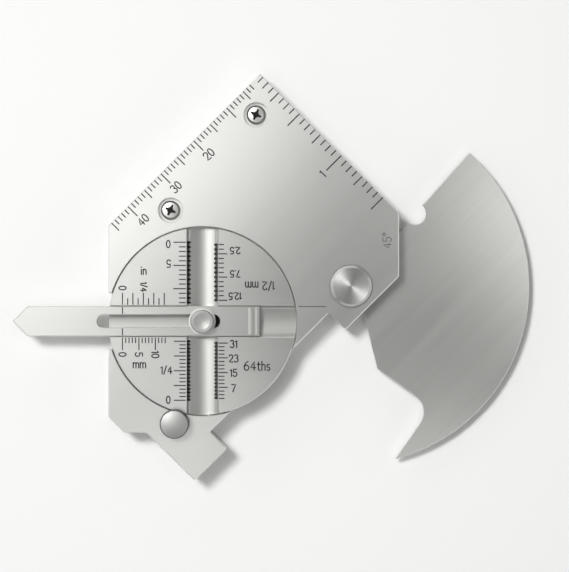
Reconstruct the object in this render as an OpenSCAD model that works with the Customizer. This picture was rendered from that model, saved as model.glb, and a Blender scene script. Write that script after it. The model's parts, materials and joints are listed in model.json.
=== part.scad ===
// Weld gauge: two plates on a pair of feet, a dial with a sliding pointer, and a cam that swings
// between the plates. The dial's axis is the origin and the back face lies at zero height. X runs along
// the bridge from the left foot to the right foot, Y points away from the work, and Z points out of the
// graduated face.

/* [Plates] */
// Distance from the dial's axis to the left edge and to the graduated top edge
edge_reach = 28.85; // [27.5:0.05:30]
// Width of the plates along the bridge
plate_w = 75.3; // [72:0.1:80]
// Height of the plates from the soles to the top edge
plate_h = 52; // [50:0.1:55]
// Thickness of the front plate
front_t = 3.4; // [3.1:0.1:4.5]
// Thickness of the back plate
back_t = 1.2; // [1:0.1:2]
// Thickness left under the dial's pocket
pocket_floor = 0.8; // [0.6:0.1:1]
// Width of the broken edges
edge_break = 0.2; // [0.1:0.05:0.3]

/* [Feet] */
// Distance from the dial's axis to the inner side of the left foot
bridge_left = 15.55; // [14:0.05:17]
// Distance by which the left foot steps in from the left edge
foot_step = 3.4; // [2.5:0.1:4.5]
// Width of the bridge gap between the feet
bridge_w = 36; // [33:0.5:38]
// Height of the bridge gap above the soles
bridge_h = 5.15; // [3:0.05:6]
// Length of the left edge, between the big bevel and the step above the left foot
left_edge_l = 4.75; // [3:0.05:6]
// Leg of the cut corner beside the right foot
corner_cut = 9.7; // [7:0.1:11]
// Radius of the feet's corners
foot_r = 0.6; // [0.2:0.1:1]

/* [Dial] */
// Diameter of the dial
dial_d = 40.4; // [38:0.1:42]
// Radial gap between the dial and its pocket
dial_gap = 0.18; // [0.1:0.02:0.3]
// Width of the plates' notch for the pointer
notch_w = 12.1; // [10:0.1:14]
// Depth of the plates' notch for the pointer
notch_d = 0.9; // [0.5:0.1:1.2]
// Outside diameter of the bush that centres the dial
bush_d = 5.6; // [4.5:0.1:6]
// Diameter of the bush's spigot in the front plate
bush_spigot_d = 4; // [3.6:0.1:4.4]

/* [Pointer] */
// Width of the pointer
pointer_w = 6.5; // [5.5:0.1:7]
// Thickness of the pointer
pointer_t = 1.35; // [1.2:0.05:1.5]
// Side clearance between the pointer and its channel
pointer_gap = 0.1; // [0.05:0.01:0.15]
// Width of the pointer's slot
slot_w = 2.7; // [2.5:0.05:3.2]
// Length of the pointer's slot
slot_l = 26.4; // [22:0.1:28]
// Distance by which the slot runs past the dial's axis, towards the tail
slot_past = 3.75; // [3:0.05:5]
// Distance from the pointer's tail to its slot
slot_inset = 8.55; // [7:0.05:10]
// Width of each of the two ribs of the grip at the tail
grip_rib_w = 1.05; // [0.8:0.05:1.3]
// Height of the ribs above the pointer
grip_h = 0.3; // [0.2:0.05:0.5]
// Width of the ramp on the outer side of each rib
grip_ramp_w = 0.5; // [0.3:0.05:0.7]
// Width of the groove between the ribs
grip_groove_w = 0.3; // [0.2:0.05:0.5]
// Width of the relieved floor of the dial's channels
relief_w = 5.3; // [4:0.1:5.4]
// Depth of the relieved floor of the dial's channels
relief_d = 0.45; // [0.2:0.05:0.5]

/* [Thumb screw] */
// Diameter of the thumb screw's shank
thumb_shank_d = 2.4; // [2:0.1:2.6]
// Diameter of the thumb screw's head
thumb_head_d = 5; // [4:0.1:6]
// Height of the thumb screw's head
thumb_head_h = 2.2; // [1.5:0.1:3]
// Depth of the dish in the thumb screw's head
thumb_dish = 0.15; // [0.1:0.05:0.2]
// Diameter of the washer under the thumb screw
thumb_washer_d = 5.8; // [5:0.1:6.4]
// Thickness of the washer under the thumb screw
thumb_washer_t = 0.3; // [0.2:0.05:0.5]

/* [Lock screw] */
// Diameter of the lock screw's head
lock_head_d = 6.2; // [5:0.1:7]
// Height of the lock screw's head
lock_head_h = 3.2; // [2.2:0.1:3.8]
// Radius of the shallow dome on the lock screw's head
lock_dome_r = 12; // [10:0.5:20]
// Height of the bevel round the lock screw's head
lock_bevel = 0.65; // [0.55:0.05:0.9]
// Diameter of the lock screw's shank
lock_shank_d = 3; // [2.5:0.1:3.2]
// Width of the dial's rim under the lock screw's head
lock_grip = 0.55; // [0.3:0.05:0.8]
// Bearing of the lock screw, seen from the dial's axis
lock_angle = 210; // [205:1:215]
// Outside diameter of the lock screw's standoff
standoff_d = 5.6; // [5:0.1:6.5]
// Diameter of the standoff's spigot in the back plate
standoff_spigot_d = 4.4; // [4.1:0.1:4.8]

/* [Cam] */
// Distance from the dial's axis to the cam's pivot, along the bridge
pivot_x = 28; // [26:0.1:30]
// Height of the cam's pivot above the soles
pivot_rise = 5.85; // [5.6:0.05:7]
// Radius of the cam's arc
cam_r = 38.8; // [36:0.1:39.5]
// Thickness of the cam
cam_t = 1.2; // [1:0.1:2]
// Radius of the cam's hub
cam_hub_r = 5.2; // [4.6:0.1:5.4]
// Bearing of the cam's straight edge, seen from the pivot
cam_edge_angle = 3.4; // [-5:0.1:10]
// Bearing of the claw's tip, seen from the pivot
claw_angle = -120.5; // [-125:0.1:-115]
// Distance from the pivot to the root of the claw
claw_root_r = 31.7; // [29:0.1:33]
// Bearing of the root of the claw, seen from the pivot
claw_root_angle = -101.4; // [-105:0.1:-96]
// Radius of the fillet at the root of the claw
claw_fillet_r = 4.1; // [2:0.1:5]
// Distance from the pivot to the cam's heel
heel_r = 18.95; // [16:0.05:21]
// Bearing of the cam's heel, seen from the pivot
heel_angle = -117; // [-121:0.1:-113]
// Distance by which the line of the cam's flank passes the pivot's centre
flank_pass = 1.35; // [0:0.05:2]
// Radius of the half-round notch in the cam's straight edge
cam_notch_r = 2.4; // [1.5:0.1:3]
// Distance from the pivot to the half-round notch
cam_notch_reach = 21.1; // [18:0.1:25]

/* [Cam pivot] */
// Diameter of the pivot screw's head
pivot_head_d = 8.9; // [8:0.1:9.5]
// Height of the pivot screw's head
pivot_head_h = 1.5; // [1:0.1:2.2]
// Width of the bevel round the pivot screw's head
pivot_bevel = 0.55; // [0.3:0.05:0.8]
// Depth of the pivot head's seat in the front plate
pivot_seat_d = 0.5; // [0.3:0.05:0.8]
// Diameter of the pivot screw's shoulder
pivot_shoulder_d = 4.8; // [4.2:0.1:5.2]
// Diameter of the pivot screw's threaded end
pivot_thread_d = 3.4; // [3:0.1:3.8]
// Diameter of the nut at the back
pivot_nut_d = 7.8; // [7.2:0.1:8.4]
// Thickness of the nut at the back
pivot_nut_t = 0.7; // [0.5:0.05:0.8]
// Thickness of each shim washer beside the cam
shim_t = 0.2; // [0.1:0.05:0.4]
// Outside diameter of the shim washers
shim_d = 8.6; // [7.5:0.1:9.2]

/* [Cover screws] */
// Bearing of the first cover screw, seen from the cam's pivot
screw_angle_a = 74; // [72:0.5:76]
// Bearing of the second cover screw, seen from the cam's pivot
screw_angle_b = 112.2; // [110:0.1:114]
// Gap between the cam's arc and the spacer sleeves
spacer_gap = 0.6; // [0.3:0.1:0.8]
// Outside diameter of the spacer sleeves
spacer_d = 5.6; // [5:0.1:6]
// Diameter of the sleeves' spigots in the back plate
spacer_spigot_d = 3.2; // [2.8:0.1:3.6]
// Diameter of the cover screws' shanks
screw_shank_d = 2; // [1.6:0.1:2.2]
// Diameter of the cover screws' heads
screw_head_d = 4.1; // [3.6:0.1:4.6]
// Height of the cover screws' heads
screw_head_h = 1.2; // [1:0.1:1.5]
// Height of the bevel round the cover screws' heads
screw_bevel = 0.6; // [0.45:0.05:0.7]
// Diameter of the counterbores for the cover screws
screw_seat_d = 5.2; // [4.8:0.1:5.6]
// Depth of the counterbores for the cover screws
screw_seat_h = 1.3; // [1.2:0.1:1.6]
// Length of the cross recess in the cover screws' heads
cross_l = 2.4; // [1.8:0.1:2.8]
// Width of the cross recess in the cover screws' heads
cross_w = 0.5; // [0.3:0.05:0.7]
// Depth of the cross recess in the cover screws' heads
cross_h = 0.6; // [0.3:0.05:0.8]
// Turn of the cross recess
cross_turn = 20; // [0:5:90]

/* [Hidden] */
$fn = 96;

// Clearances that the fits share
over = 0.5;            // how far a cut runs past a face
shank_gap = 0.05;      // radial gap of a turning shank in its bore
hole_gap = 0.2;        // radial gap of a shank that passes through a plate
press_gap = 0.01;      // radial gap of a riveted spigot
face_gap = 0.03;       // gap between flat faces that slide on each other
seat_gap = 0.2;        // radial gap of a head in its counterbore
end_gap = 0.25;        // how far a shank's end stays inside its plate
corner_steps = 4;      // straight stretches in a foot's rounded corner
corner_stop = 0.1;     // how far a broken edge stops short of an inward corner
break_spread = 0.05;   // share by which neighbouring broken edges differ in width
rim_share = 0.8;       // width of a round rim's broken edge, as a share of a straight one's
tangent_lap = 0.01;    // how far a fillet's cut laps over the sides that it is tangent to
rim_break = rim_share * edge_break;

// Heights of the stack, from the back face up
cam_z = back_t + shim_t + face_gap;
front_z = cam_z + cam_t + face_gap + shim_t;
face_z = front_z + front_t;
pocket_z = front_z + pocket_floor;
dial_z = pocket_z + face_gap;
channel_d = pointer_t + 2 * face_gap;
channel_z = face_z - channel_d;
pointer_z = channel_z + face_gap;
pointer_top = pointer_z + pointer_t;
bush_top = channel_z - relief_d - face_gap;

// Places in the plane of the plates
dial_r = dial_d / 2;
right_x = plate_w - edge_reach;
sole_y = edge_reach - plate_h;
bridge_y = sole_y + bridge_h;
bridge_right = bridge_w - bridge_left;
foot_x = foot_step - edge_reach;
bevel_end = dial_r * sqrt(2) - edge_reach;
left_edge_y = bevel_end - left_edge_l;
pivot = [pivot_x, sole_y + pivot_rise];
screw_reach = cam_r + spacer_gap + spacer_d / 2;
screws = [for (angle = [screw_angle_a, screw_angle_b]) pivot + polar(screw_reach, angle)];
lock = polar(dial_r + lock_head_d / 2 - lock_grip, lock_angle);

// The pointer lies across the big bevel, with its point at the corner where the left and top edges
// would meet
pointer_turn = -45;
channel_w = pointer_w + 2 * pointer_gap;
tip_u = -edge_reach * sqrt(2);
slot_end_u = slot_past;
slot_start_u = slot_end_u - slot_l;
tail_u = slot_end_u + slot_inset;
relief_r = (pow(relief_w / 2, 2) + pow(relief_d, 2)) / (2 * relief_d);

// The cam's own points, seen from its pivot
heel = polar(heel_r, heel_angle);
claw_root = polar(claw_root_r, claw_root_angle);
claw_tip = polar(cam_r, claw_angle);
flank_end = polar(flank_pass, heel_angle + 90);
to_heel = unit(heel - claw_root);
to_tip = unit(claw_tip - claw_root);
claw_half = acos(to_heel * to_tip) / 2;
claw_tangent = claw_fillet_r / tan(claw_half);
claw_centre = claw_root + unit(to_heel + to_tip) * claw_fillet_r / sin(claw_half);

function polar(r, angle) = r * [cos(angle), sin(angle)];
function along_pointer(u, v) = [(u + v) / sqrt(2), (v - u) / sqrt(2)];
function unit(v) = v / norm(v);

// Round stretch of an outline at a square corner, between the way in and the way out
function round_corner(corner, way_in, way_out, r) =
    [for (i = [0 : corner_steps]) let (t = 90 * i / corner_steps)
        corner + r * ((sin(t) - 1) * way_in + (1 - cos(t)) * way_out)];

plate_outline = concat(
    round_corner([foot_x, sole_y], [0, -1], [1, 0], foot_r),
    round_corner([-bridge_left, sole_y], [1, 0], [0, 1], foot_r),
    [[-bridge_left, bridge_y], [bridge_right, bridge_y]],
    round_corner([bridge_right, sole_y], [0, -1], [1, 0], foot_r),
    [[right_x - corner_cut, sole_y], [right_x, sole_y + corner_cut]],
    [[right_x, edge_reach], [-bevel_end, edge_reach]],
    [along_pointer(-dial_r, notch_w / 2), along_pointer(notch_d - dial_r, notch_w / 2)],
    [along_pointer(notch_d - dial_r, -notch_w / 2), along_pointer(-dial_r, -notch_w / 2)],
    [[-edge_reach, bevel_end], [-edge_reach, left_edge_y], [foot_x, left_edge_y - foot_step]]);

// The cam's sector runs on past its arc, which the round blank then cuts. The corner at the claw's root is
// taken straight across, and a round cut then hollows it into the fillet.
sector_r = 2 * cam_r;
cam_outline = concat(
    [flank_end, heel, claw_root + claw_tangent * to_heel, claw_root + claw_tangent * to_tip],
    [claw_root + sector_r * to_tip],
    [for (share = [0 : 0.5 : 1]) polar(sector_r, claw_angle + share * (cam_edge_angle - claw_angle))],
    [[0, 0]]);

// Sides of the sector with broken edges: the flank, both sides of the claw and the straight edge
cam_straight_edges = [0, 1, 3, len(cam_outline) - 2];

// How far a cut along one side runs past a corner: some way at an outward corner, and short of an
// inward one
function run_past(before, corner, after) =
    cross(corner - before, after - corner) > 0 ? edge_break : -corner_stop;

// Neighbouring sides are broken by slightly different widths, as by hand, so that their cuts don't all
// meet in one point
function side_break(i, count) = edge_break * (1 + break_spread * (i == count - 1 ? 2 : i % 2));

// Triangular cuts along the chosen upper edges of an outline that runs anticlockwise
module break_edges(outline, z, chosen) {
    count = len(outline);
    for (i = chosen) {
        reach = side_break(i, count) + over;
        from = outline[i];
        to = outline[(i + 1) % count];
        run_in = run_past(outline[(i + count - 1) % count], from, to);
        run_out = run_past(from, to, outline[(i + 2) % count]);
        translate([from.x, from.y, z])
            rotate([0, 0, atan2(to.y - from.y, to.x - from.x)])
                translate([-run_in, 0, 0])
                    rotate([90, 0, 90])
                        linear_extrude(norm(to - from) + run_in + run_out)
                            polygon([[-over, -reach], [reach, over], [-over, over]]);
    }
}

// The same cuts along the lower edges of an outline that lies at zero height
module break_lower_edges(outline, chosen) {
    mirror([0, 0, 1]) break_edges(outline, 0, chosen);
}

function every_edge(outline) = [for (i = [0 : len(outline) - 1]) i];

// A round bar that stands at a point, for a shank or for the hole it runs in
module rod(at, d, z, h) {
    translate([at.x, at.y, z]) cylinder(d = d, h = h);
}

// A cone that breaks the upper rim of a round hole
module hole_break(at, d, z) {
    translate([at.x, at.y, z - rim_break])
        cylinder(d1 = d, d2 = d + 2 * (rim_break + over), h = rim_break + over);
}

module body_plate() {
    pocket_d = dial_d + 2 * dial_gap;
    color("gainsboro") difference() {
        translate([0, 0, front_z]) linear_extrude(front_t) polygon(plate_outline);
        break_edges(plate_outline, face_z, every_edge(plate_outline));
        rod([0, 0], pocket_d, pocket_z, front_t);
        hole_break([0, 0], pocket_d, face_z);
        rod([0, 0], bush_spigot_d + 2 * press_gap, front_z - over, front_t);
        rod(pivot, pivot_shoulder_d + 2 * press_gap, front_z - over, front_t + 2 * over);
        rod(pivot, pivot_head_d + 2 * seat_gap, face_z - pivot_seat_d, front_t);
        rod(lock, lock_shank_d + 2 * hole_gap, front_z - over, front_t + 2 * over);
        for (at = screws) {
            rod(at, screw_shank_d + 2 * hole_gap, front_z - over, front_t + 2 * over);
            rod(at, screw_seat_d, face_z - screw_seat_h, front_t);
            hole_break(at, screw_seat_d, face_z);
        }
    }
}

module back_plate() {
    nut_seat_d = pivot_nut_d + 2 * seat_gap;
    color("silver") difference() {
        linear_extrude(back_t) polygon(plate_outline);
        break_lower_edges(plate_outline, every_edge(plate_outline));
        rod(pivot, pivot_shoulder_d + 2 * press_gap, -over, back_t + 2 * over);
        rod(pivot, nut_seat_d, -over, over + pivot_nut_t);
        rod(lock, standoff_spigot_d + 2 * press_gap, -over, back_t + 2 * over);
        for (at = screws)
            rod(at, spacer_spigot_d + 2 * press_gap, -over, back_t + 2 * over);
    }
}

// A threaded sleeve between the plates, riveted into the back plate by its spigot
module plate_sleeve(at, d, spigot_d, bore_d) {
    difference() {
        union() {
            rod(at, d, back_t, front_z - back_t);
            rod(at, spigot_d, face_gap, back_t);
        }
        rod(at, bore_d, -over, front_z + 2 * over);
    }
}

module spacer_sleeves() {
    color("darkgray")
        for (at = screws)
            plate_sleeve(at, spacer_d, spacer_spigot_d, screw_shank_d + 2 * press_gap);
}

module lock_standoff() {
    color("darkgray") plate_sleeve(lock, standoff_d, standoff_spigot_d, lock_shank_d + 2 * shank_gap);
}

// Round head with a bevelled rim and a shallow dome, standing on the ground plane
module domed_head(d, h, bevel, dome_r) {
    intersection() {
        union() {
            cylinder(d = d, h = h - bevel);
            translate([0, 0, h - bevel]) cylinder(d1 = d, d2 = d - 2 * bevel, h = bevel);
        }
        translate([0, 0, h - dome_r]) sphere(r = dome_r);
    }
}

// A domed head on a plain shank, with a cross recess that narrows to a cone at its middle
module cross_head_screw() {
    head_z = face_z - screw_seat_h;
    head_top = head_z + screw_head_h;
    difference() {
        union() {
            translate([0, 0, end_gap]) cylinder(d = screw_shank_d, h = head_z - end_gap + over);
            translate([0, 0, head_z])
                domed_head(screw_head_d, screw_head_h, screw_bevel, 2 * screw_head_d);
        }
        for (turn = [0, 90])
            rotate([0, 0, cross_turn + turn])
                translate([-cross_l / 2, -cross_w / 2, head_top - cross_h])
                    cube([cross_l, cross_w, cross_h + over]);
        translate([0, 0, head_top - cross_h])
            cylinder(d1 = cross_w, d2 = cross_w + 2 * cross_h, h = cross_h + face_gap);
    }
}

module cover_screws() {
    color("lightgray")
        for (at = screws)
            translate([at.x, at.y, 0]) cross_head_screw();
}

// Round blank of the cam with both edges of its arc broken
module cam_blank() {
    rotate_extrude()
        polygon([[0, 0], [cam_r - rim_break, 0], [cam_r, rim_break], [cam_r, cam_t - rim_break],
                 [cam_r - rim_break, cam_t], [0, cam_t]]);
}

// Sector of the cam with its straight edges broken and its claw's fillet hollowed
module cam_sector() {
    difference() {
        linear_extrude(cam_t) polygon(cam_outline);
        break_edges(cam_outline, cam_t, cam_straight_edges);
        break_lower_edges(cam_outline, cam_straight_edges);
        rod(claw_centre, 2 * (claw_fillet_r + tangent_lap), -over, cam_t + 2 * over);
    }
}

module cam_segment() {
    notch = polar(cam_notch_reach, cam_edge_angle);
    color("darkgray") translate([pivot.x, pivot.y, cam_z]) difference() {
        union() {
            intersection() {
                cam_sector();
                cam_blank();
            }
            cylinder(r = cam_hub_r, h = cam_t);
        }
        rod([0, 0], pivot_shoulder_d + 2 * shank_gap, -over, cam_t + 2 * over);
        rod(notch, 2 * cam_notch_r, -over, cam_t + 2 * over);
        hole_break(notch, 2 * cam_notch_r, cam_t);
    }
}

module cam_pivot_screw() {
    head_z = face_z - pivot_seat_d;
    color("lightgray") translate([pivot.x, pivot.y, 0]) {
        translate([0, 0, head_z]) cylinder(d = pivot_head_d, h = pivot_head_h - pivot_bevel);
        translate([0, 0, head_z + pivot_head_h - pivot_bevel])
            cylinder(d1 = pivot_head_d, d2 = pivot_head_d - 2 * pivot_bevel, h = pivot_bevel);
        translate([0, 0, pivot_nut_t]) cylinder(d = pivot_shoulder_d, h = head_z - pivot_nut_t);
        translate([0, 0, face_gap]) cylinder(d = pivot_thread_d, h = pivot_nut_t);
    }
}

module cam_pivot_nut() {
    spanner_hole_d = 1;
    spanner_hole_reach = (pivot_thread_d + pivot_nut_d) / 4;
    color("darkgray") translate([pivot.x, pivot.y, face_gap]) difference() {
        cylinder(d = pivot_nut_d, h = pivot_nut_t - face_gap);
        rod([0, 0], pivot_thread_d + 2 * press_gap, -over, pivot_nut_t + 2 * over);
        for (side = [-1, 1])
            rod([side * spanner_hole_reach, 0], spanner_hole_d, -over, pivot_nut_t + 2 * over);
    }
}

module shim_washer(z) {
    translate([pivot.x, pivot.y, z]) difference() {
        cylinder(d = shim_d, h = shim_t);
        rod([0, 0], pivot_shoulder_d + 2 * press_gap, -over, shim_t + 2 * over);
    }
}

module cam_washer_back() {
    color("dimgray") shim_washer(back_t);
}

module cam_washer_front() {
    color("dimgray") shim_washer(front_z - shim_t);
}

// A dial channel: side walls with broken edges, a ledge along each side and a hollow floor between
module channel_cut() {
    half = channel_w / 2;
    rim = half + edge_break + over;
    rotate([90, 0, 90]) translate([0, 0, -dial_d]) linear_extrude(2 * dial_d) {
        polygon([[-half, -channel_d], [half, -channel_d], [half, -edge_break], [rim, over],
                 [-rim, over], [-half, -edge_break]]);
        intersection() {
            translate([0, relief_r - channel_d - relief_d]) circle(r = relief_r);
            translate([-relief_w / 2, -channel_d - relief_d - over])
                square([relief_w, relief_d + 2 * over]);
        }
    }
}

module dial_disc() {
    color("gainsboro") difference() {
        translate([0, 0, dial_z]) cylinder(d = dial_d, h = face_z - dial_z);
        difference() {
            rod([0, 0], dial_d + 2 * over, face_z - rim_break, over);
            translate([0, 0, face_z - rim_break])
                cylinder(d1 = dial_d, d2 = dial_d - 2 * rim_break, h = rim_break);
        }
        for (turn = [0, 90])
            translate([0, 0, face_z]) rotate([0, 0, pointer_turn + turn]) channel_cut();
        rod([0, 0], bush_d + 2 * shank_gap, dial_z - over, front_t);
    }
}

module disc_pivot_bush() {
    color("darkgoldenrod") difference() {
        union() {
            rod([0, 0], bush_d, pocket_z, bush_top - pocket_z);
            rod([0, 0], bush_spigot_d, front_z + face_gap, pocket_floor);
        }
        rod([0, 0], thumb_shank_d + 2 * shank_gap, front_z - over, front_t);
    }
}

// Slot with round ends, broken along its upper edge
module pointer_slot() {
    start = slot_start_u + slot_w / 2;
    end = slot_end_u - slot_w / 2;
    half = slot_w / 2;
    rim = half + edge_break + over;
    break_z = pointer_t - edge_break;
    translate([start, 0, 0]) rotate([90, 0, 90]) linear_extrude(end - start)
        polygon([[-half, -over], [half, -over], [half, break_z], [rim, pointer_t + over],
                 [-rim, pointer_t + over], [-half, break_z]]);
    for (u = [start, end]) {
        rod([u, 0], slot_w, -over, pointer_t + over);
        hole_break([u, 0], slot_w, pointer_t);
    }
}

// Flat bar with a point at its outer end and two ramped ribs across its tail
module pointer_slide() {
    half = pointer_w / 2;
    outline = [[tip_u, 0], [tip_u + half, -half], [tail_u, -half], [tail_u, half], [tip_u + half, half]];
    grip_top = pointer_t + grip_h;
    grip_half = half - 2 * edge_break;
    color("silver") rotate([0, 0, pointer_turn]) translate([0, 0, pointer_z]) difference() {
        union() {
            difference() {
                linear_extrude(pointer_t) polygon(outline);
                break_edges(outline, pointer_t, every_edge(outline));
            }
            for (rib_end = [tail_u, tail_u - grip_rib_w - grip_groove_w])
                translate([rib_end - grip_rib_w, grip_half, 0]) rotate([90, 0, 0])
                    linear_extrude(2 * grip_half)
                        polygon([[0, 0], [grip_rib_w, 0], [grip_rib_w, grip_top],
                                 [grip_ramp_w, grip_top], [0, pointer_t]]);
        }
        pointer_slot();
    }
}

module slide_thumb_screw() {
    head_z = pointer_top + face_gap + thumb_washer_t;
    head_top = head_z + thumb_head_h;
    dish_r = 2 * thumb_head_d;
    color("lightgray") difference() {
        union() {
            rod([0, 0], thumb_shank_d, front_z + end_gap, head_z - front_z);
            rod([0, 0], thumb_head_d, head_z, thumb_head_h - edge_break);
            translate([0, 0, head_top - edge_break])
                cylinder(d1 = thumb_head_d, d2 = thumb_head_d - 2 * edge_break, h = edge_break);
        }
        translate([0, 0, head_top + dish_r - thumb_dish]) sphere(r = dish_r);
    }
}

module thumb_washer() {
    color("silver") difference() {
        rod([0, 0], thumb_washer_d, pointer_top + face_gap, thumb_washer_t);
        rod([0, 0], thumb_shank_d + 2 * press_gap, pointer_top - over, thumb_washer_t + 2 * over);
    }
}

module lock_screw() {
    head_z = face_z + face_gap;
    color("lightgray") translate([lock.x, lock.y, 0]) {
        translate([0, 0, end_gap]) cylinder(d = lock_shank_d, h = head_z);
        translate([0, 0, head_z]) domed_head(lock_head_d, lock_head_h, lock_bevel, lock_dome_r);
    }
}

body_plate();
back_plate();
spacer_sleeves();
cover_screws();
cam_segment();
cam_pivot_screw();
cam_pivot_nut();
cam_washer_front();
cam_washer_back();
dial_disc();
disc_pivot_bush();
pointer_slide();
slide_thumb_screw();
thumb_washer();
lock_screw();
lock_standoff();
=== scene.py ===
"""Looks of the weld gauge: brushed and turned steel, inked scales and plain numbers, in a pale studio.

Lengths are written in millimetres and MM turns them into metres. The plate's own axes are x along the
bridge and y away from the work. The dial's axes are u along the pointer, towards its tail, and v across
the pointer. Both lie in the plane of the graduated face and share the dial's axis as origin. In the
picture, u points right and v points up.
"""

import json
import math

import bmesh
import bpy
import numpy as np
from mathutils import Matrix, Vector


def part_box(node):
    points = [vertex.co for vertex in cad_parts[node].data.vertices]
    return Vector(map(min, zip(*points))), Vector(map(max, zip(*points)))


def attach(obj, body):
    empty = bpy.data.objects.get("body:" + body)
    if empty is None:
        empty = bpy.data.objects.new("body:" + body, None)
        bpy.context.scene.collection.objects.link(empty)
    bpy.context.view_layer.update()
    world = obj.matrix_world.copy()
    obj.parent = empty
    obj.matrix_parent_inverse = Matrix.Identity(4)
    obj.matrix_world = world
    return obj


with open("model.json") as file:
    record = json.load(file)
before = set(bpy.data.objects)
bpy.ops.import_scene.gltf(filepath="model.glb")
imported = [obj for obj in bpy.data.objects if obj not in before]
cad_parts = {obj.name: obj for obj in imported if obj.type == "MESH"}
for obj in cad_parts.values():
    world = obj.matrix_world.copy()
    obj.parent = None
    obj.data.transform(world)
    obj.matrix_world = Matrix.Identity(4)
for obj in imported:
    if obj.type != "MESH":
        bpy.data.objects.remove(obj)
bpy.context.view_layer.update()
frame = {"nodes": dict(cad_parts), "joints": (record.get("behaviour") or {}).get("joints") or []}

MM = 0.001
INCH = 25.4

# Sizes that the frame doesn't tell: drops below the face, a screw head's radius and the pointer's turn
POINTER_DROP = 0.03
LEDGE_DROP = 1.41
SCREW_HEAD_R = 2.05
POINTER_TURN = math.radians(-45)

# Places taken from the frame, in millimetres
joints = {joint["name"]: joint for joint in frame["joints"]}
pivot = np.array(joints["cam_swing"]["pos_m"]) / MM
lock = np.array(joints["lock_screw_turn"]["pos_m"]) / MM
thumb = np.array(joints["thumb_screw_turn"]["pos_m"]) / MM
plate_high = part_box("body_plate")[1]
face_z = plate_high.z / MM
right_edge = plate_high.x / MM
top_edge = plate_high.y / MM
pointer_top = face_z - POINTER_DROP
ledge_z = face_z - LEDGE_DROP
knob_low, knob_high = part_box("lock_screw")
knob_r = (knob_high.x - knob_low.x) / MM / 2
screw_low, screw_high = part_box("cover_screws")
screw_top = screw_high.z / MM
screw_centres = [(screw_low.x / MM + SCREW_HEAD_R, screw_low.y / MM + SCREW_HEAD_R),
                 (screw_high.x / MM - SCREW_HEAD_R, screw_high.y / MM - SCREW_HEAD_R)]


def dial_to_plate(points):
    """Turns points given along and across the pointer into the plate's axes."""
    points = np.asarray(points, float)
    u, v = points[..., 0], points[..., 1]
    cos, sin = math.cos(POINTER_TURN), math.sin(POINTER_TURN)
    return np.stack([u * cos - v * sin, u * sin + v * cos], axis=-1)


def on_plate(points):
    """Points that are already in the plate's axes."""
    return points


# Marks on the faces

BEAD_RISE = 0.012
BEAD_SIDES = 8
CAP_TURNS = np.radians([0.0, 35.0, 65.0])
MERGE_WITHIN = 1e-7


def bead(path, width, closed=False):
    """A flat bead of ink along a path.

    At each station stands an ellipse square to the path, as wide as the stroke and twice the rise high.
    Its size is one along the path and falls to nothing at an open end along a quarter circle. Returns the
    points of the grid, station by station, with the height measured from the face.
    """
    if closed:
        along = np.roll(path, -1, axis=0) - np.roll(path, 1, axis=0)
        size = np.ones(len(path))
    else:
        along = np.gradient(path, axis=0)
        start = along[0] / np.linalg.norm(along[0])
        end = along[-1] / np.linalg.norm(along[-1])
        reach = (width / 2 * np.cos(CAP_TURNS))[:, None]
        path = np.concatenate([path[0] - reach * start, path, (path[-1] + reach * end)[::-1]])
        along = np.concatenate([np.repeat([start], len(reach), 0), along, np.repeat([end], len(reach), 0)])
        cap = np.sin(CAP_TURNS)
        size = np.concatenate([cap, np.ones(len(path) - 2 * len(cap)), cap[::-1]])
    along = along / np.linalg.norm(along, axis=1, keepdims=True)
    across = np.stack([-along[:, 1], along[:, 0]], axis=1)
    turn = np.linspace(0, 2 * np.pi, BEAD_SIDES, endpoint=False)
    side = size[:, None] * (width / 2) * np.cos(turn)[None, :]
    flat = path[:, None, :] + side[..., None] * across[:, None, :]
    rise = size[:, None] * BEAD_RISE * np.sin(turn)[None, :]
    return np.concatenate([flat, rise[..., None]], axis=2)


def grid_faces(stations, sides, closed):
    """Quads of a grid whose sides wrap round, and whose stations wrap round too where it is closed."""
    rows = np.arange(stations if closed else stations - 1)
    here, side = np.meshgrid(rows, np.arange(sides), indexing="ij")
    there = (here + 1) % stations
    beside = (side + 1) % sides
    quads = [here * sides + side, there * sides + side, there * sides + beside, here * sides + beside]
    return np.stack([quad.ravel() for quad in quads], axis=1)


class Marks:
    """Collects the beads that lie on one face and ride on one body, and makes one mesh of them."""

    def __init__(self, name, z, place):
        """Starts with no beads. The height is the face's, and place turns points into the plate's axes."""
        self.name = name
        self.z = z
        self.place = place
        self.points = []
        self.faces = []
        self.count = 0

    def stroke(self, path, width, closed=False):
        """Adds one bead along a path."""
        grid = bead(np.asarray(path, float), width, closed)
        stations, sides = grid.shape[:2]
        self.faces.append(grid_faces(stations, sides, closed) + self.count)
        self.count += stations * sides
        grid[..., :2] = self.place(grid[..., :2])
        grid[..., 2] += self.z
        self.points.append(grid.reshape(-1, 3))

    def make(self, material, body):
        """Makes the mesh, with its doubles merged and its faces outward, and lets it ride on a body."""
        mesh = bpy.data.meshes.new(self.name)
        points = np.concatenate(self.points) * MM
        mesh.from_pydata(points.tolist(), [], np.concatenate(self.faces).tolist())
        merged = bmesh.new()
        merged.from_mesh(mesh)
        bmesh.ops.remove_doubles(merged, verts=merged.verts, dist=MERGE_WITHIN)
        bmesh.ops.recalc_face_normals(merged, faces=merged.faces)
        merged.to_mesh(mesh)
        merged.free()
        mesh.materials.append(material)
        piece = bpy.data.objects.new(self.name, mesh)
        bpy.context.scene.collection.objects.link(piece)
        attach(piece, body)


# Plain numbers, drawn with one stroke width

ARC_POINTS = 14
RING_POINTS = 24


def arc(x, y, rx, ry, start, end, points=ARC_POINTS):
    """Points of an elliptic arc about x, y from one bearing to another, in degrees."""
    turn = np.radians(np.linspace(start, end, points))
    return np.stack([x + rx * np.cos(turn), y + ry * np.sin(turn)], axis=1)


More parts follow.
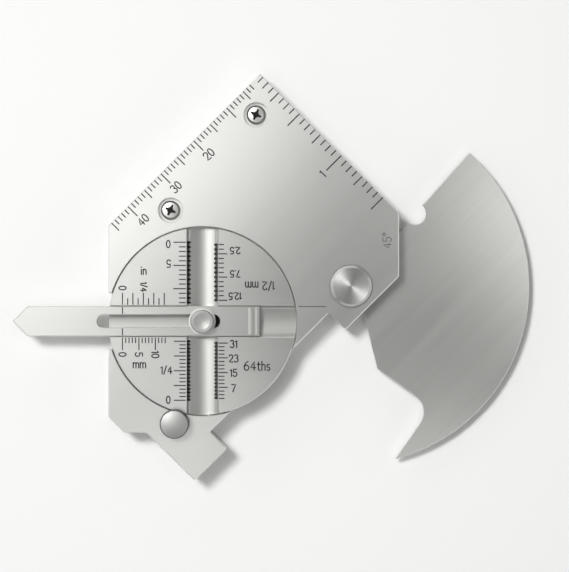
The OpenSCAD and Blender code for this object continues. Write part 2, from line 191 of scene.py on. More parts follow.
def ring(x, y, rx, ry):
    """Points of a closed ellipse about x, y."""
    return arc(x, y, rx, ry, 0, 360, RING_POINTS + 1)[:-1]


def joined(*pieces):
    """One path through several stretches, one after the other."""
    return np.concatenate([np.asarray(piece, float) for piece in pieces])


# Each sign has its width and its strokes, in units of the height of a number. Each stroke says whether it is
# closed. The sign o is the ring that stands for degrees.
GLYPHS = {
    "0": (0.50, [(ring(0.25, 0.5, 0.25, 0.5), True)]),
    "1": (0.20, [([(0.0, 0.82), (0.17, 1.0), (0.17, 0.5), (0.17, 0.0)], False)]),
    "2": (0.52, [(joined(arc(0.26, 0.73, 0.26, 0.27, 165, -35), [(0.0, 0.0), (0.27, 0.0), (0.54, 0.0)]),
                  False)]),
    "3": (0.52, [(joined(arc(0.25, 0.76, 0.23, 0.24, 150, -85), arc(0.25, 0.27, 0.27, 0.27, 85, -150)),
                  False)]),
    "4": (0.56, [([(0.40, 0.0), (0.40, 0.5), (0.40, 1.0), (0.2, 0.64), (0.0, 0.29), (0.28, 0.29),
                   (0.57, 0.29)], False)]),
    "5": (0.50, [(joined([(0.46, 1.0), (0.26, 1.0), (0.06, 1.0), (0.04, 0.8)],
                         arc(0.24, 0.31, 0.27, 0.31, 135, -150)), False)]),
    "6": (0.52, [(ring(0.26, 0.29, 0.26, 0.29), True), (arc(0.62, 0.32, 0.62, 0.70, 108, 180), False)]),
    "7": (0.50, [([(0.0, 1.0), (0.26, 1.0), (0.52, 1.0), (0.33, 0.5), (0.16, 0.0)], False)]),
    ".": (0.06, [([(0.03, 0.0), (0.03, 0.04)], False)]),
    "/": (0.36, [([(0.0, -0.08), (0.18, 0.5), (0.36, 1.08)], False)]),
    "m": (0.68, [([(0.0, 0.0), (0.0, 0.33), (0.0, 0.66)], False),
                 (joined(arc(0.17, 0.46, 0.17, 0.20, 180, 0), [(0.34, 0.0)]), False),
                 (joined(arc(0.51, 0.46, 0.17, 0.20, 180, 0), [(0.68, 0.0)]), False)]),
    "n": (0.36, [([(0.0, 0.0), (0.0, 0.33), (0.0, 0.66)], False),
                 (joined(arc(0.18, 0.46, 0.18, 0.20, 180, 0), [(0.36, 0.0)]), False)]),
    "i": (0.06, [([(0.03, 0.0), (0.03, 0.33), (0.03, 0.66)], False), ([(0.03, 0.9), (0.03, 0.94)], False)]),
    "t": (0.32, [(joined([(0.13, 0.92), (0.13, 0.5)], arc(0.29, 0.16, 0.16, 0.16, 180, 280, 8)), False),
                 ([(0.0, 0.66), (0.16, 0.66), (0.32, 0.66)], False)]),
    "h": (0.36, [([(0.0, 0.0), (0.0, 0.5), (0.0, 1.0)], False),
                 (joined(arc(0.18, 0.46, 0.18, 0.20, 180, 0), [(0.36, 0.0)]), False)]),
    "s": (0.34, [(joined(arc(0.17, 0.50, 0.15, 0.16, 45, 262), arc(0.17, 0.17, 0.17, 0.17, 82, -140)),
                  False)]),
    "o": (0.32, [(ring(0.16, 0.86, 0.16, 0.16), True)]),
    " ": (0.22, []),
}
GLYPH_GAP = 0.20
GLYPH_MIDDLE = 0.5

# Turns of a row of signs, in degrees
UPRIGHT, DOWNWARD, UPSIDE_DOWN = 0, -90, 180


def number(marks, text, centre, height, turn, width):
    """Writes signs in a row about a centre, turned by some degrees."""
    total = sum(GLYPHS[sign][0] for sign in text) + GLYPH_GAP * (len(text) - 1)
    cos, sin = math.cos(math.radians(turn)), math.sin(math.radians(turn))
    turned = np.array([[cos, sin], [-sin, cos]])
    pen = -total / 2
    for sign in text:
        advance, strokes = GLYPHS[sign]
        for path, closed in strokes:
            local = (np.asarray(path, float) + [pen, -GLYPH_MIDDLE]) * height
            marks.stroke(local @ turned + centre, width, closed)
        pen += advance + GLYPH_GAP


def line(start, end):
    """A straight path of three points."""
    return np.linspace(start, end, 3)


def scale(marks, count, first, ranks, start, step, way, width):
    """A row of graduation lines from a start, a step apart, each of which runs along way.

    The lines are numbered from first on. Each rank has a divisor and a length, and the last rank whose
    divisor divides a line's number gives that line's length.
    """
    start, step, way = (np.asarray(value, float) for value in (start, step, way))
    for index in range(count):
        length = [length for divisor, length in ranks if (first + index) % divisor == 0][-1]
        foot = start + index * step
        marks.stroke(line(foot, foot + length * way), width)


# Procedural steel and ink

# Waves of noise in each metre along, across and through the brushing
FINE_STREAKS = (60.0, 2600.0, 2600.0)
BROAD_STREAKS = (16.0, 420.0, 420.0)
LONG_CLOUDS = (45.0, 70.0, 70.0)
ROUND_CLOUDS = (220.0, 220.0, 220.0)
GRAIN = (4000.0, 4000.0, 4000.0)
WEAR = (900.0, 900.0, 900.0)
TURNED_RINGS = 6500.0
NOISE_DETAIL = 3.0
STREAK_DETAIL = 2.0
NOISE_LOW, NOISE_HIGH = 0.3, 0.7

# Shares of the noises in the tone and in the polish of brushed steel
CLOUD_IN_TONE = 0.35
FINE_IN_TONE = 0.3
FINE_IN_POLISH = 0.4

# Half range of the roughness of turned and plain metal, and darkest and lightest share of a plain tone
POLISH_RANGE = 0.05
CLOUD_DARK, CLOUD_LIGHT = 0.92, 1.06

# Strength and depth in metres of the relief on each kind of metal
BRUSHED_RELIEF = (0.01, 4e-6)
TURNED_RELIEF = (0.25, 4e-6)
PLAIN_RELIEF = (0.2, 3e-6)

# A channel's floor, cut by milling, keeps this share of the tone as painted shade and is this much rougher,
# and what lies near a seat is painted black as shade
MILLED_SHADE_TONE = 0.58
MILLED_ROUGH = 0.18
SEAT_REACH = 2.75
PAINTED_SHADE_BLACK = (0.02, 0.02, 0.02)

# The flat of a cover screw's head reaches this far out, and what lies this far below it is bevel or recess,
# which get painted shade
FLAT_REACH = 1.5
FLAT_DROP = 0.2
BEVEL_SHADE_TONE = 0.5

INK_ROUGH = 0.6
INK_SPECULAR = 0.08


def nodes_of(name):
    """A new material with its node tree, its main shader and the object's own coordinates."""
    material = bpy.data.materials.new(name)
    material.use_nodes = True
    tree = material.node_tree
    shader = tree.nodes["Principled BSDF"]
    coords = tree.nodes.new("ShaderNodeTexCoord")
    return material, tree, shader, coords.outputs["Object"]


def noise(tree, vector, waves_per_m, turn=0.0, detail=NOISE_DETAIL):
    """Noise stretched by its waves along each axis, along axes turned about the face's normal."""
    mapping = tree.nodes.new("ShaderNodeMapping")
    mapping.vector_type = "TEXTURE"
    mapping.inputs["Rotation"].default_value = (0.0, 0.0, turn)
    mapping.inputs["Scale"].default_value = [1.0 / waves for waves in waves_per_m]
    tree.links.new(vector, mapping.inputs["Vector"])
    texture = tree.nodes.new("ShaderNodeTexNoise")
    texture.inputs["Scale"].default_value = 1.0
    texture.inputs["Detail"].default_value = detail
    tree.links.new(mapping.outputs["Vector"], texture.inputs["Vector"])
    return texture.outputs["Fac"]


def math_node(tree, operation, first, second):
    """A math node on two values, each a socket or a number."""
    node = tree.nodes.new("ShaderNodeMath")
    node.operation = operation
    for socket, value in zip(node.inputs, (first, second)):
        if isinstance(value, (int, float)):
            socket.default_value = value
        else:
            tree.links.new(value, socket)
    return node.outputs["Value"]


def vector_node(tree, operation, first, second=None):
    """A vector math node on a socket and, where one is given, a constant vector."""
    node = tree.nodes.new("ShaderNodeVectorMath")
    node.operation = operation
    tree.links.new(first, node.inputs[0])
    if second is not None:
        node.inputs[1].default_value = second
    return node


def spread(tree, value, low, high):
    """Stretches the middle of a noise to the range from low to high."""
    node = tree.nodes.new("ShaderNodeMapRange")
    node.inputs["From Min"].default_value = NOISE_LOW
    node.inputs["From Max"].default_value = NOISE_HIGH
    node.inputs["To Min"].default_value = low
    node.inputs["To Max"].default_value = high
    tree.links.new(value, node.inputs["Value"])
    return node.outputs["Result"]


def mixed(tree, value, first, second):
    """A colour between two colours by a value from 0 to 1. The first colour may be a socket."""
    node = tree.nodes.new("ShaderNodeMix")
    node.data_type = "RGBA"
    if isinstance(first, bpy.types.NodeSocket):
        tree.links.new(first, node.inputs["A"])
    else:
        node.inputs["A"].default_value = (*first, 1.0)
    node.inputs["B"].default_value = (*second, 1.0)
    tree.links.new(value, node.inputs["Factor"])
    return node.outputs["Result"]


def bump(tree, shader, height, relief):
    """Feeds a height to the shader's normal, with the relief's strength and depth."""
    strength, depth = relief
    node = tree.nodes.new("ShaderNodeBump")
    node.inputs["Strength"].default_value = strength
    node.inputs["Distance"].default_value = depth
    tree.links.new(height, node.inputs["Height"])
    tree.links.new(node.outputs["Normal"], shader.inputs["Normal"])


def to_world(tree, vector, shader):
    """Feeds a direction of the object's own frame to the shader's tangent."""
    node = tree.nodes.new("ShaderNodeVectorTransform")
    node.vector_type = "VECTOR"
    node.convert_from = "OBJECT"
    node.convert_to = "WORLD"
    tree.links.new(vector, node.inputs["Vector"])
    tree.links.new(node.outputs["Vector"], shader.inputs["Tangent"])


def below(tree, place, height):
    """1 below a height in the piece, and 0 above it."""
    split = tree.nodes.new("ShaderNodeSeparateXYZ")
    tree.links.new(place, split.inputs["Vector"])
    return math_node(tree, "LESS_THAN", split.outputs["Z"], height * MM)


def from_axis(tree, place, centre):
    """Level offset of a place from an upright line through a centre, and the length of that offset."""
    offset = vector_node(tree, "SUBTRACT", place, (centre[0] * MM, centre[1] * MM, 0.0))
    level = vector_node(tree, "MULTIPLY", offset.outputs["Vector"], (1.0, 1.0, 0.0))
    length = vector_node(tree, "LENGTH", level.outputs["Vector"])
    return level.outputs["Vector"], length.outputs["Value"]


def near(tree, place, centre, reach):
    """1 within a distance of an upright line through a centre, and 0 outside it."""
    return math_node(tree, "LESS_THAN", from_axis(tree, place, centre)[1], reach * MM)


def blend(tree, first, second, share):
    """Sum of two values, the second with the given share."""
    return math_node(tree, "ADD", math_node(tree, "MULTIPLY", first, 1.0 - share),
                     math_node(tree, "MULTIPLY", second, share))


def finish_metal(tree, shader, surface, polish, anisotropy=0.0):
    """Makes the shader metal with a surface colour and a roughness from sockets."""
    tree.links.new(surface, shader.inputs["Base Color"])
    tree.links.new(polish, shader.inputs["Roughness"])
    shader.inputs["Metallic"].default_value = 1.0
    shader.inputs["Anisotropic"].default_value = anisotropy


def brushed_steel(name, tone, roughness, turn, streak, gloss, anisotropy, channel=None):
    """Steel brushed along one direction: long soft streaks in tone and gloss, and a cloudy polish.

    A channel is given as a height and a seat. Below that height the steel is cut by milling and rougher, and
    darkened with painted shade, and about the seat it is painted black as shade.
    """
    material, tree, shader, place = nodes_of(name)
    fine = noise(tree, place, FINE_STREAKS, turn, STREAK_DETAIL)
    broad = noise(tree, place, BROAD_STREAKS, turn, STREAK_DETAIL)
    cloud = noise(tree, place, LONG_CLOUDS, turn, STREAK_DETAIL)
    tone = np.array(tone)
    shade = blend(tree, blend(tree, broad, cloud, CLOUD_IN_TONE), fine, FINE_IN_TONE)
    surface = mixed(tree, spread(tree, shade, 0.0, 1.0), tone * (1.0 - streak), tone * (1.0 + streak))
    polish = spread(tree, blend(tree, broad, fine, FINE_IN_POLISH), roughness - gloss, roughness + gloss)
    if channel is not None:
        channel_z, seat = channel
        milled_shaded = below(tree, place, channel_z)
        # Painted shade: the floor below the channel's height is darkened, and the seat beside it is painted
        # black
        surface = mixed(tree, milled_shaded, surface, tone * MILLED_SHADE_TONE)
        painted_seat_shade = math_node(tree, "MULTIPLY", milled_shaded, near(tree, place, seat, SEAT_REACH))
        surface = mixed(tree, painted_seat_shade, surface, PAINTED_SHADE_BLACK)
        polish = math_node(tree, "ADD", polish, math_node(tree, "MULTIPLY", milled_shaded, MILLED_ROUGH))
    finish_metal(tree, shader, surface, polish, anisotropy)
    across = tree.nodes.new("ShaderNodeCombineXYZ")
    across.inputs["X"].default_value = -math.sin(turn)
    across.inputs["Y"].default_value = math.cos(turn)
    to_world(tree, across.outputs["Vector"], shader)
    bump(tree, shader, fine, BRUSHED_RELIEF)
    return material


def turned_steel(name, tone, roughness, centre, streak, anisotropy, side=None):
    """Steel turned on a lathe about a centre: fine rings in tone and gloss, glossy along the radius.

    A side is given as a radius and a share of the tone: past that radius the head's rim and side get painted
    shade.
    """
    material, tree, shader, place = nodes_of(name)
    level, radius = from_axis(tree, place, centre)
    texture = tree.nodes.new("ShaderNodeTexNoise")
    texture.noise_dimensions = "1D"
    texture.inputs["Scale"].default_value = TURNED_RINGS
    texture.inputs["Detail"].default_value = NOISE_DETAIL
    tree.links.new(radius, texture.inputs["W"])
    rings = texture.outputs["Fac"]
    tone = np.array(tone)
    surface = mixed(tree, spread(tree, rings, 0.0, 1.0), tone * (1.0 - streak), tone * (1.0 + streak))
    if side is not None:
        shade_from_r, share = side
        # Painted shade: the head is darker past this radius, on its rim and side
        beyond = math_node(tree, "GREATER_THAN", radius, shade_from_r * MM)
        surface = mixed(tree, beyond, surface, tone * share)
    polish = spread(tree, rings, roughness - POLISH_RANGE, roughness + POLISH_RANGE)
    finish_metal(tree, shader, surface, polish, anisotropy)
    to_world(tree, vector_node(tree, "NORMALIZE", level).outputs["Vector"], shader)
    bump(tree, shader, rings, TURNED_RELIEF)
    return material


def plain_metal(name, tone, roughness, recess=None):
    """Plain machined metal with a fine even grain and a cloudy tone.

    A recess is given as the centres of some screw heads and the height of their tops. Below the tops the
    bevels round the heads are darkened with painted shade, and the cross recesses inside them are painted
    black as shade.
    """
    material, tree, shader, place = nodes_of(name)
    cloud = noise(tree, place, ROUND_CLOUDS)
    grain = noise(tree, place, GRAIN)
    tone = np.array(tone)
    surface = mixed(tree, spread(tree, cloud, 0.0, 1.0), tone * CLOUD_DARK, tone * CLOUD_LIGHT)
    if recess is not None:
        centres, top_z = recess
        low = below(tree, place, top_z - FLAT_DROP)
        inside = near(tree, place, centres[0], FLAT_REACH)
        for centre in centres[1:]:
            inside = math_node(tree, "MAXIMUM", inside, near(tree, place, centre, FLAT_REACH))
        # Painted shade: darker bevels round the heads, and black in the cross recesses
        surface = mixed(tree, low, surface, tone * BEVEL_SHADE_TONE)
        surface = mixed(tree, math_node(tree, "MULTIPLY", low, inside), surface, PAINTED_SHADE_BLACK)
    polish = spread(tree, grain, roughness - POLISH_RANGE, roughness + POLISH_RANGE)
    finish_metal(tree, shader, surface, polish)
    bump(tree, shader, grain, PLAIN_RELIEF)
    return material


def ink(name, tone, worn):
    """Matt ink in the engraving, worn a little lighter in places, and also used for strips of painted shade.
    """
    material, tree, shader, place = nodes_of(name)
    wear = spread(tree, noise(tree, place, WEAR), 0.0, 1.0)
    tree.links.new(mixed(tree, wear, tone, worn), shader.inputs["Base Color"])
    shader.inputs["Roughness"].default_value = INK_ROUGH
    shader.inputs["Specular IOR Level"].default_value = INK_SPECULAR
    return material


ALONG_X = 0.0

# The dial is cut by milling, and darkened with painted shade, from this far below the face on, with black
# painted shade at the seat beside the thumb screw, and the lock screw's head has painted shade from this far
# inside its rim on
MILLED_AND_SHADED_FROM = 0.3
SEAT_U = 1.2
KNOB_RIM = 0.2
KNOB_RIM_SHADE_TONE = 0.3
channel = (face_z - MILLED_AND_SHADED_FROM, dial_to_plate((SEAT_U, 0.0)))
# The lock screw's head gets painted shade on its rim and side
knob_rim_shade = (knob_r - KNOB_RIM, KNOB_RIM_SHADE_TONE)

# Tone, roughness, direction of the brushing, streaks in the tone, range of the roughness, and anisotropy
face_steel = brushed_steel("face_steel", (0.665, 0.665, 0.643), 0.286, ALONG_X, 0.01, 0.006, 0.0)
dial_steel = brushed_steel("dial_steel", (0.63, 0.63, 0.609), 0.284, POINTER_TURN, 0.02, 0.006, 0.4, channel)
pointer_steel = brushed_steel("pointer_steel", (0.61, 0.61, 0.59), 0.28, POINTER_TURN, 0.015, 0.004, 0.1)
cam_steel = brushed_steel("cam_steel", (0.58, 0.58, 0.56), 0.288, ALONG_X, 0.05, 0.008, 0.2)
back_steel = brushed_steel("back_steel", (0.68, 0.68, 0.66), 0.32, ALONG_X, 0.015, 0.006, 0.0)

# Tone, roughness, centre of the turning, rings in the tone, and anisotropy
pivot_steel = turned_steel("pivot_steel", (0.45, 0.45, 0.44), 0.36, pivot, 0.06, 0.7)
thumb_steel = turned_steel("thumb_steel", (0.34, 0.34, 0.33), 0.46, thumb, 0.04, 0.2)
knob_steel = turned_steel("knob_steel", (0.35, 0.35, 0.34), 0.50, lock, 0.03, 0.0, knob_rim_shade)

# Tone and roughness
screw_steel = plain_metal("screw_steel", (0.68, 0.68, 0.66), 0.34, (screw_centres, screw_top))
washer_steel = plain_metal("washer_steel", (0.66, 0.66, 0.64), 0.36)
inner_steel = plain_metal("inner_steel", (0.58, 0.58, 0.57), 0.40)
bush_brass = plain_metal("bush_brass", (0.78, 0.60, 0.30), 0.36)

# Tone where the ink is full and where it is worn
scale_ink = ink("scale_ink", (0.015, 0.0147, 0.014), (0.05, 0.049, 0.047))
# The ledges' strips are painted shadow of the channel's walls
ledge_shade = ink("ledge_shade", (0.07, 0.069, 0.067), (0.13, 0.128, 0.124))
engraving = ink("engraving", (0.10, 0.10, 0.097), (0.16, 0.16, 0.155))

FINISH = {
    "body_plate": face_steel,
    "back_plate": back_steel,
    "spacer_sleeves": inner_steel,
    "cover_screws": screw_steel,
    "cam_segment": cam_steel,
    "cam_pivot_screw": pivot_steel,
    "cam_pivot_nut": inner_steel,
    "cam_washer_front": inner_steel,
    "cam_washer_back": inner_steel,
    "dial_disc": dial_steel,
    "disc_pivot_bush": bush_brass,
    "pointer_slide": pointer_steel,
    "slide_thumb_screw": thumb_steel,
    "thumb_washer": washer_steel,
    "lock_screw": knob_steel,
    "lock_standoff": inner_steel,
}
for node, material in FINISH.items():
    for material_slot in frame["nodes"][node].material_slots:
        material_slot.material = material


# Scales on the plate's edges

EDGE_INSET = 0.22
EDGE_LINE = 0.26
EDGE_NUMBER = 1.75
NUMBER_LINE = 0.26

FIRST_MM, LAST_MM = 3, 45
MM_SHIFT = 0.3
MM_RANKS = [(1, 1.15), (5, 2.1), (10, 2.7)]
MM_NUMBERS = (20, 30, 40)
MM_NUMBER_SHIFT = 0.05
MM_NUMBER_DROP = 4.45

top_ruler = Marks("top_edge_scale", face_z, on_plate)
scale(top_ruler, LAST_MM - FIRST_MM + 1, FIRST_MM, MM_RANKS,
      (right_edge - MM_SHIFT - FIRST_MM, top_edge - EDGE_INSET), (-1, 0), (0, -1), EDGE_LINE)
for value in MM_NUMBERS:
    number(top_ruler, str(value), (right_edge - value - MM_NUMBER_SHIFT, top_edge - MM_NUMBER_DROP),
           EDGE_NUMBER, UPRIGHT, NUMBER_LINE)
top_ruler.make(scale_ink, "body")

SIXTEENTH = INCH / 16
SIXTEENTHS = 24
INCH_SHIFT = 0.6
INCH_RANKS = [(1, 1.35), (2, 1.6), (4, 2.4), (8, 3.4), (16, 4.3)]
INCH_NUMBER_INSET = 5.75
INCH_NUMBER_SHIFT = 0.65
INDEX_FROM, INDEX_TO, INDEX_V = 20.75, 26.6, 3.17
INDEX_LINE = 0.14

right_ruler = Marks("right_edge_scale", face_z, on_plate)
scale(right_ruler, SIXTEENTHS, 1, INCH_RANKS,
      (right_edge - EDGE_INSET, top_edge + INCH_SHIFT - SIXTEENTH), (0, -SIXTEENTH), (-1, 0), EDGE_LINE)
number(right_ruler, "1", (right_edge - INCH_NUMBER_INSET, top_edge - INCH + INCH_NUMBER_SHIFT),
       EDGE_NUMBER, UPRIGHT, NUMBER_LINE)
right_ruler.stroke(dial_to_plate(line((INDEX_FROM, INDEX_V), (INDEX_TO, INDEX_V))), INDEX_LINE)
right_ruler.make(scale_ink, "body")

ANGLE_PLACE = (40.42, -15.85)
ANGLE_HEIGHT = 1.8
ANGLE_TURN = 45
ANGLE_LINE = 0.18

bevel_mark = Marks("bevel_angle_mark", face_z, on_plate)
number(bevel_mark, "45o", ANGLE_PLACE, ANGLE_HEIGHT, ANGLE_TURN, ANGLE_LINE)
bevel_mark.make(engraving, "body")


# Scales on the dial

CHANNEL_EDGE = 3.62
DIAL_LINE = 0.23
DIAL_NUMBER = 1.55
SMALL_NUMBER = 1.25
HALF_MM_NUMBER = 1.4
UNIT_MARK = 1.7
LARGE_UNIT_MARK = 1.9
THROAT_PITCH = 1.1225
FILLET_PITCH = 0.70711
ZERO_U = -17.15
UPPER_ZERO_V = 17.0
LOWER_ZERO_V = -17.0
HALF_MM = 0.5
THIRTY_SECOND = INCH / 32
SIXTY_FOURTH = INCH / 64

# Each scale has its number of lines, the number of its first line, its ranks, the place of its first line,
# the step to the next line and the way that its lines run
POINTER_SCALES = [
    (9, 0, [(1, 1.25), (2, 2.4)], (ZERO_U, CHANNEL_EDGE), (THROAT_PITCH, 0), (0, 1)),
    (14, 0, [(1, 1.0), (5, 2.5)], (ZERO_U, -CHANNEL_EDGE), (FILLET_PITCH, 0), (0, -1)),
]
CHANNEL_SCALES = [
    (14, 0, [(1, 1.3), (5, 2.5)], (-CHANNEL_EDGE, UPPER_ZERO_V), (0, -1), (-1, 0)),
    (13, 3, [(1, 0.95), (5, 1.7)], (CHANNEL_EDGE, UPPER_ZERO_V - HALF_MM), (0, -1), (1, 0)),
    (17, 0, [(1, 1.2), (4, 2.4)], (-CHANNEL_EDGE, LOWER_ZERO_V), (0, THIRTY_SECOND), (-1, 0)),
    (16, 1, [(1, 1.1), (4, 1.8)], (CHANNEL_EDGE, LOWER_ZERO_V + SIXTY_FOURTH), (0, THIRTY_SECOND), (1, 0)),
]

# Each number or unit mark has its signs, its place, its height and its turn
DIAL_NUMBERS = [
    ("0", (ZERO_U, 7.15), DIAL_NUMBER, DOWNWARD),
    ("1/4", (ZERO_U + 4.1 * THROAT_PITCH, 7.4), SMALL_NUMBER, DOWNWARD),
    ("in", (-12.6, 10.9), UNIT_MARK, UPRIGHT),
    ("0", (ZERO_U, -7.15), DIAL_NUMBER, DOWNWARD),
    ("5", (ZERO_U + 5 * FILLET_PITCH, -7.15), DIAL_NUMBER, DOWNWARD),
    ("10", (ZERO_U + 10 * FILLET_PITCH, -7.15), DIAL_NUMBER, DOWNWARD),
    ("mm", (-13.5, -9.2), UNIT_MARK, UPRIGHT),
    ("0", (-7.3, 16.6), DIAL_NUMBER, UPSIDE_DOWN),
    ("5", (-7.2, 12.4), DIAL_NUMBER, UPSIDE_DOWN),
    ("2.5", (7.1, 15.2), HALF_MM_NUMBER, UPSIDE_DOWN),
    ("7.5", (7.1, 10.2), HALF_MM_NUMBER, UPSIDE_DOWN),
    ("12.5", (7.1, 5.4), HALF_MM_NUMBER, UPSIDE_DOWN),
    ("1/2 mm", (12.45, 7.6), UNIT_MARK, UPSIDE_DOWN),
    ("0", (-7.3, -16.9), DIAL_NUMBER, UPRIGHT),
    ("1/4", (-7.7, -10.5), DIAL_NUMBER, UPRIGHT),
    ("31", (6.75, -4.9), DIAL_NUMBER, UPRIGHT),
    ("23", (6.75, -8.0), DIAL_NUMBER, UPRIGHT),
    ("15", (6.75, -11.1), DIAL_NUMBER, UPRIGHT),
    ("7", (6.75, -14.4), DIAL_NUMBER, UPRIGHT),
    ("64ths", (11.8, -9.6), LARGE_UNIT_MARK, UPRIGHT),
]

dial_marks = Marks("dial_scales", face_z, dial_to_plate)
for count, first, ranks, start, step, way in POINTER_SCALES + CHANNEL_SCALES:
    scale(dial_marks, count, first, ranks, start, step, way, DIAL_LINE)
for text, place, height, turn in DIAL_NUMBERS:
    number(dial_marks, text, place, height, turn, NUMBER_LINE)
dial_marks.make(scale_ink, "dial")

# The lines of the upright channel end in a row of dots on each ledge, over a strip of painted shadow that is
# lighter than the dots
LEDGE_FROM, LEDGE_TO = 2.72, 3.28
STRIP_MIDDLE = 3.02
STRIP_WIDTH = 0.55
DOT_RISE = 0.008
DOT_SHARE = 0.5

ledge_marks = Marks("ledge_dots", ledge_z + DOT_RISE, dial_to_plate)
ledge_shade_strips = Marks("ledge_shade_strips", ledge_z, dial_to_plate)
for count, first, ranks, start, step, way in CHANNEL_SCALES:
    side = way[0]
    first_v, pitch = start[1], step[1]
    last_v = first_v + (count - 1) * pitch
    for v in np.linspace(first_v, last_v, count):
        ledge_marks.stroke(line((side * LEDGE_FROM, v), (side * LEDGE_TO, v)), DOT_SHARE * abs(pitch))
    ledge_shade_strips.stroke(line((side * STRIP_MIDDLE, first_v), (side * STRIP_MIDDLE, last_v)), STRIP_WIDTH)
ledge_marks.make(scale_ink, "dial")
ledge_shade_strips.make(ledge_shade, "dial")

POINTER_LINE_FROM, POINTER_LINE_TO = 1.65, 2.95

pointer_mark = Marks("pointer_index_line", pointer_top, dial_to_plate)
for side in (-1, 1):
    pointer_mark.stroke(line((ZERO_U, side * POINTER_LINE_FROM), (ZERO_U, side * POINTER_LINE_TO)), DIAL_LINE)
pointer_mark.make(scale_ink, "pointer")


# Camera, which looks straight down on the face: width of its view there, middle of the view and distance

VIEW_W = 122.4
VIEW_MIDDLE = (17.88, -7.16)
CAMERA_DISTANCE = 420.0
SENSOR_W = 36.0
CLIP_START = 0.01

camera_data = bpy.data.cameras.new("camera")
camera_data.sensor_fit = "HORIZONTAL"
camera_data.sensor_width = SENSOR_W
camera_data.lens = SENSOR_W * CAMERA_DISTANCE / VIEW_W
camera_data.clip_start = CLIP_START
camera = bpy.data.objects.new("camera", camera_data)
camera.location = (VIEW_MIDDLE[0] * MM, VIEW_MIDDLE[1] * MM, (face_z + CAMERA_DISTANCE) * MM)
camera.rotation_euler = (0.0, 0.0, POINTER_TURN)
bpy.context.scene.collection.objects.link(camera)
bpy.context.scene.camera = camera


# Lamps

def turn_towards(place, target):
    """Euler angles that turn a lamp, which shines down when unturned, from a place to a target."""
    direction = np.asarray(target, float) - np.asarray(place, float)
    yaw = math.atan2(direction[1], direction[0])
    pitch = math.atan2(math.hypot(direction[0], direction[1]), -direction[2])
    return (pitch, 0.0, yaw - math.pi / 2)


def lamp(name, place_uvz, size, glow, target_uvz):
    """A soft rectangular lamp, placed by picture right, picture up and height, that shines at a target.

    Its glow is how bright its face looks, where 1 is white.
    """
    data = bpy.data.lights.new(name, "AREA")
    data.shape = "RECTANGLE"
    data.size, data.size_y = size[0] * MM, size[1] * MM
    data.energy = glow * math.pi * data.size * data.size_y
    place = np.append(dial_to_plate(place_uvz[:2]), place_uvz[2]) * MM
    target = np.append(dial_to_plate(target_uvz[:2]), target_uvz[2]) * MM
    lamp_object = bpy.data.objects.new(name, data)
    lamp_object.location = place
    lamp_object.rotation_euler = turn_towards(place, target)
    lamp_object.visible_camera = False
    bpy.context.scene.collection.objects.link(lamp_object)


# The key throws the shadows, and low walls of light far off brighten the bevels
OBJECT_MIDDLE = (17.7, 7.6, 0.0)
KEY_PLACE = (-468.0, 410.0, 1050.0)
KEY_SIZE = (300.0, 300.0)
KEY_GLOW = 35.0
lamp("key_lamp", KEY_PLACE, KEY_SIZE, KEY_GLOW, OBJECT_MIDDLE)

WALL_Z = 300.0
WALL_SIZE = (1800.0, 600.0)
WALLS = [("left_wall", -1200.0, 0.0, 0.85), ("upper_wall", -300.0, 1160.0, 0.85),
         ("right_wall", 1200.0, -200.0, 0.8), ("lower_wall", 200.0, -1200.0, 0.65)]
for name, u, v, glow in WALLS:
    lamp(name, (u, v, WALL_Z), WALL_SIZE, glow, OBJECT_MIDDLE)

# Panels overhead, round a dark middle, give the steel its sheen: place, size and glow of each
PANEL_Z = 220.0
PANELS = [("left_panel", -70.0, 0.0, 60.0, 200.0, 1.3),
          ("upper_left_panel", -20.0, 60.0, 40.0, 80.0, 1.5),
          ("upper_panel", 20.0, 80.0, 40.0, 40.0, 1.1),
          ("upper_right_panel", 100.0, 40.0, 40.0, 40.0, 2.6),
          ("right_panel", 130.0, 0.0, 60.0, 40.0, 1.85),
          ("lower_right_panel", 75.0, -78.0, 40.0, 60.0, 3.0),
          ("lower_left_panel", -20.0, -60.0, 40.0, 80.0, 1.5)]
for name, u, v, width, height, glow in PANELS:
    lamp(name, (u, v, PANEL_Z), (width, height), glow, (u, v, 0.0))


# World: a room that is dim overhead and lighter towards the floor, and that the lens and metal see lighter

WARM_WHITE = (1.0, 1.0, 0.985)
LIGHTING_ROOM = (0.30, 0.25, 0.75, 0.04)
SEEN_ROOM = (0.84, 0.50, 0.94, 0.02)

world = bpy.data.worlds.new("studio")
bpy.context.scene.world = world
world.use_nodes = True
sky = world.node_tree
background = sky.nodes["Background"]
direction = sky.nodes.new("ShaderNodeTexCoord")
upward = sky.nodes.new("ShaderNodeSeparateXYZ")
sky.links.new(direction.outputs["Generated"], upward.inputs["Vector"])


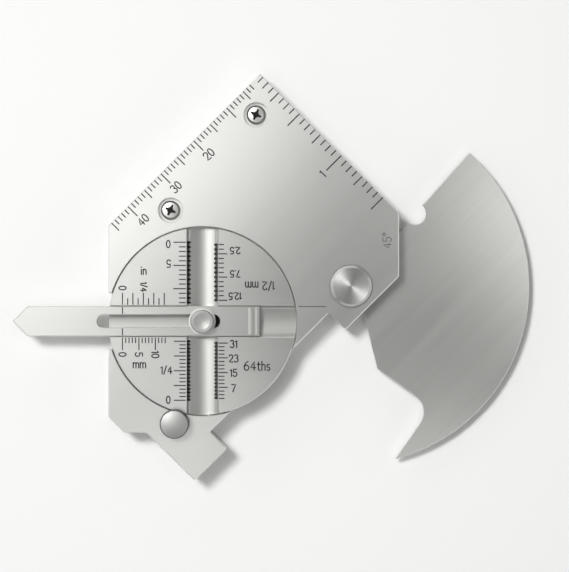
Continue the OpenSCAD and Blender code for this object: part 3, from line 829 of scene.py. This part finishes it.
def room(low, low_glow, high, high_glow):
    """Grey of the room by the upward share of a direction: one glow up to low, another from high on."""
    ramp = sky.nodes.new("ShaderNodeValToRGB")
    sky.links.new(upward.outputs["Z"], ramp.inputs["Fac"])
    for element, position, glow in zip(ramp.color_ramp.elements, (low, high), (low_glow, high_glow)):
        element.position = position
        element.color = (*(glow * part for part in WARM_WHITE), 1.0)
    return ramp.outputs["Color"]


def seen_rays(tree):
    """1 for a ray from the lens, off metal or through glass, and 0 for one that only lights."""
    rays = tree.nodes.new("ShaderNodeLightPath")
    seen = math_node(tree, "MAXIMUM", rays.outputs["Is Glossy Ray"], rays.outputs["Is Transmission Ray"])
    return math_node(tree, "MAXIMUM", seen, rays.outputs["Is Camera Ray"])


room_mix = sky.nodes.new("ShaderNodeMix")
room_mix.data_type = "RGBA"
sky.links.new(seen_rays(sky), room_mix.inputs["Factor"])
sky.links.new(room(*LIGHTING_ROOM), room_mix.inputs["A"])
sky.links.new(room(*SEEN_ROOM), room_mix.inputs["B"])
sky.links.new(room_mix.outputs["Result"], background.inputs["Color"])


# Floor of pale paper, a hair below the back face, which the lens and metal see a little lighter

FLOOR_HALF = 4.0
FLOOR_Z = -0.00002
FLOOR_LIFT = 0.03
PAPER = (0.93, 0.93, 0.92)
PAPER_ROUGH = 0.9

floor_mesh = bpy.data.meshes.new("floor")
corners = [(x * FLOOR_HALF, y * FLOOR_HALF, FLOOR_Z) for x, y in ((-1, -1), (1, -1), (1, 1), (-1, 1))]
floor_mesh.from_pydata(corners, [], [(0, 1, 2, 3)])
floor = bpy.data.objects.new("floor", floor_mesh)
bpy.context.scene.collection.objects.link(floor)
paper, tree, shader = nodes_of("floor_paper")[:3]
shader.inputs["Base Color"].default_value = (*PAPER, 1.0)
shader.inputs["Roughness"].default_value = PAPER_ROUGH
shader.inputs["Specular IOR Level"].default_value = 0.0
shader.inputs["Emission Color"].default_value = (*WARM_WHITE, 1.0)
lift = math_node(tree, "MULTIPLY", seen_rays(tree), FLOOR_LIFT)
tree.links.new(lift, shader.inputs["Emission Strength"])
floor_mesh.materials.append(paper)

bpy.context.scene.view_settings.view_transform = "Standard"
